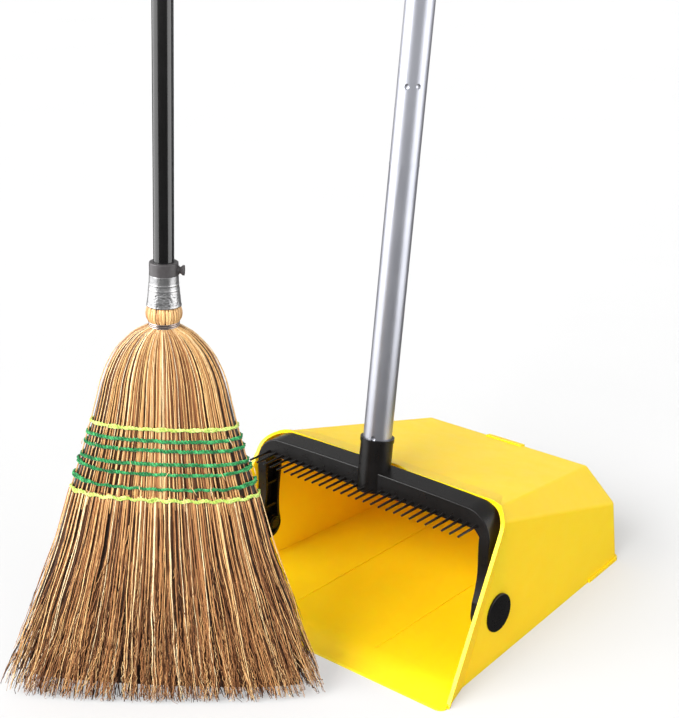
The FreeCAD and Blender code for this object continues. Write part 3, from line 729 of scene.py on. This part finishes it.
def splinters():
    """Pale slivers that cross the twine here and there."""
    rng = np.random.default_rng(31)
    count = 26
    turn = even_turns(count, 235, rng, 0.45)
    row = np.array(ROWS)[rng.integers(0, len(ROWS), count)]
    t = np.linspace(0, 1, 8)[None, :]
    length = rng.uniform(5, 11, (count, 1))
    z = row[:, None] + length * (0.5 - t)
    slant = rng.uniform(-0.07, 0.07, (count, 1)) * (t - 0.5)
    proud = 2.1
    wide = half_width(z) + proud
    deep = half_depth(z) + proud
    angle = turn[:, None] + slant
    lines = np.stack([wide * np.cos(angle), deep * np.sin(angle), z], axis=-1)
    radii = 0.34 * np.sin(np.pi * (0.06 + 0.88 * t)) * np.ones((count, 1))
    tone = rng.uniform(0.8, 1.0, count)
    strands("splinters", lines, radii, outward_at(turn, lines), tone, "corn_fibre", sides=4)


WIRE_LOW = 354.72  # centre of the lowest turn where it starts
WIRE_TURNS = 3
WIRE_PITCH = 1.52
WIRE_R = 0.74
COIL_R = 12.37


def wire_binding():
    """Turns of wire round the neck, with the ends twisted together at the back."""
    t = np.linspace(0, 1, 260)
    spin = t * WIRE_TURNS * 2 * np.pi + math.radians(80)
    coil = circle(COIL_R, spin, WIRE_LOW + t * WIRE_PITCH * WIRE_TURNS)[None]
    outward = circle(1.0, spin, 0.0)[None]
    points, faces = tubes(coil, np.full(coil.shape[:2], WIRE_R), 10, outward)
    piece = add_piece("wire_coil", placed(points), faces, "binding_wire")
    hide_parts("throat_wire")
    t = np.linspace(0, 1, 60)
    tails = []
    for phase in (0, math.pi):
        spin = t * 6 * math.pi + phase
        x = 0.72 * np.cos(spin)
        y = 14.0 + 0.72 * np.sin(spin) + 0.9 * t
        height = 357.4 - 9.5 * t
        tails.append(np.stack([x, y, height], axis=-1))
    tails = np.array(tails)
    outward = np.broadcast_to(np.array((1.0, 0.001, 0.0)), tails.shape)
    points, faces = tubes(tails, np.full(tails.shape[:2], 0.7), 8, outward)
    tail = add_piece("wire_tail", placed(points), faces, "binding_wire")


FERRULE_LOW = 372.8
FERRULE_TOP = 399.0
FERRULE_WALL = 0.75
HAMMERED_TO = 386.4  # the dents fade out at this height


def hammered(point, radius):
    """A point of the ferrule's skin moved in or out by the dents, deepest on the flat of the broom."""
    place = Vector(point)
    low = min(max((HAMMERED_TO - place.z) / 1.5, 0), 1)
    if low == 0 or radius < 11.9:
        return point
    bumps = noise.noise(place * 0.62) * 0.55 + noise.noise(place * 1.5 + Vector((9, 2, 4))) * 0.35
    front = 0.45 + 0.55 * abs(point[1]) / 14
    scale = 1 + low * front * 0.42 * min(bumps, 0.35) / radius
    return np.array((point[0] * scale, point[1] * scale, point[2]))


def crinkled_ferrule():
    """The tin cone: a plain band with two rolled ridges, and a hammered lower part."""
    outer = []
    for z in np.linspace(FERRULE_LOW, FERRULE_TOP, 70):
        radius = np.interp(z, (FERRULE_LOW, 374.0, 392.4, FERRULE_TOP), (14.5, 14.2, 12.3, 12.15))
        for ridge, height in ((391.5, 0.28), (387.2, 0.16), (373.5, 0.22)):
            radius += height * math.exp(-((z - ridge) / 0.45) ** 2)
        outer.append((radius, z))
    inner = [(radius - FERRULE_WALL, z) for radius, z in reversed(outer)]
    around = 160
    turn = np.arange(around) * 2 * np.pi / around
    rings = []
    for radius, z in outer + inner:
        rings.append(np.array([hammered(point, radius) for point in circle(radius, turn, z)]))
    index = np.arange(len(rings) * around).reshape(len(rings), around)
    faces = [band_faces(index, closed=True)]
    piece = add_piece("ferrule_shell", placed(np.concatenate(rings)), faces, "ferrule_metal")
    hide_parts("ferrule")


# ---------------------------------------------------------------- studio

def aim_lamp(lamp, place, aim):
    bpy.context.scene.collection.objects.link(lamp)
    lamp.location = place
    lamp.rotation_mode = "QUATERNION"
    lamp.rotation_quaternion = (Vector(aim) - Vector(place)).to_track_quat("-Z", "Y")
    lamp.visible_camera = False


def far_softbox(name, place, width, strength, glossy=True):
    """A large softbox far away: even light over the whole floor, with soft shadows."""
    data = bpy.data.lights.new(name, "SUN")
    data.energy = strength
    data.angle = math.radians(width)
    lamp = bpy.data.objects.new(name, data)
    aim_lamp(lamp, place, (0, 0, 0))
    lamp.visible_glossy = glossy


def side_strip(name, place, size, power):
    """A tall strip that only shows as a sheen on glossy surfaces."""
    data = bpy.data.lights.new(name, "AREA")
    data.shape = "RECTANGLE"
    data.size, data.size_y = size
    data.energy = power
    lamp = bpy.data.objects.new(name, data)
    aim_lamp(lamp, place, (0, 0, place[2]))
    lamp.visible_diffuse = False


SKY = ((0.46, 0.09), (0.49, 0.90), (0.585, 0.80), (0.65, 0.32), (1.0, 0.58))  # 0.5 is the horizon
FLOOR_REACH = 40.0
FLOOR_GAP = 0.0002  # the floor lies this far under the part


def soft_world():
    """A dim room with a pale horizon and a soft ceiling; below the horizon it is dark."""
    world = bpy.data.worlds.new("studio")
    world.use_nodes = True
    tree = world.node_tree
    place = tree.nodes.new("ShaderNodeTexCoord")
    split = tree.nodes.new("ShaderNodeSeparateXYZ")
    rise = tree.nodes.new("ShaderNodeMapRange")
    rise.inputs["From Min"].default_value = -1.0
    rise.inputs["From Max"].default_value = 1.0
    grade = tree.nodes.new("ShaderNodeValToRGB")
    while len(grade.color_ramp.elements) < len(SKY):
        grade.color_ramp.elements.new(0.5)
    for stop, (height, level) in zip(grade.color_ramp.elements, SKY):
        stop.position = height
        stop.color = (level, level, level, 1)
    tree.links.new(place.outputs["Generated"], split.inputs["Vector"])
    tree.links.new(split.outputs["Z"], rise.inputs["Value"])
    tree.links.new(rise.outputs["Result"], grade.inputs["Fac"])
    tree.links.new(grade.outputs["Color"], tree.nodes["Background"].inputs["Strength"])
    tree.nodes["Background"].inputs["Color"].default_value = (1.0, 1.0, 1.0, 1)
    return world


def studio():
    """The floor, the lamps and the sky."""
    scene = bpy.context.scene
    scene.view_settings.view_transform = "Standard"
    scene.view_settings.look = "None"
    scene.world = soft_world()
    paper = Shader("floor", Roughness=0.9, Specular_IOR_Level=0.1,
                   Emission_Color=(1, 1, 1, 1), Emission_Strength=0.40)
    grain = paper.noise(3, 2)
    paper.colour(paper.ramp(grain, (0.3, (0.355, 0.355, 0.355)), (0.7, (0.365, 0.365, 0.365))))
    mesh = bpy.data.meshes.new("floor")
    signs = ((-1, -1), (1, -1), (1, 1), (-1, 1))
    mesh.from_pydata([(x * FLOOR_REACH, y * FLOOR_REACH, 0) for x, y in signs], [], [(0, 1, 2, 3)])
    mesh.materials.append(paper.material)
    floor = bpy.data.objects.new("floor", mesh)
    floor.location = (0, 0, -FLOOR_GAP)
    floor.visible_glossy = False
    scene.collection.objects.link(floor)
    far_softbox("key", (-1.2, -2.1, 1.5), 32, 2.0)
    far_softbox("front", (0.2, -2.3, 1.45), 34, 4.0, False)
    far_softbox("side", (2.2, -0.8, 1.05), 34, 0.95, False)
    far_softbox("top", (0.0, 0.2, 2.9), 60, 0.2)
    side_strip("left_strip", (-1.05, -1.07, 0.62), (2.2, 1.7), 27)
    side_strip("right_strip", (1.33, 0.69, 0.62), (1.5, 1.7), 20)
    side_strip("edge_strip", (-1.25, -1.15, 1.05), (1.4, 0.3), 10)


make_camera()
dress_cad_nodes()
core()
shoulder_stalks()
throat_stalks()
skirt_strands()
stitching()
splinters()
wire_binding()
crinkled_ferrule()
studio()
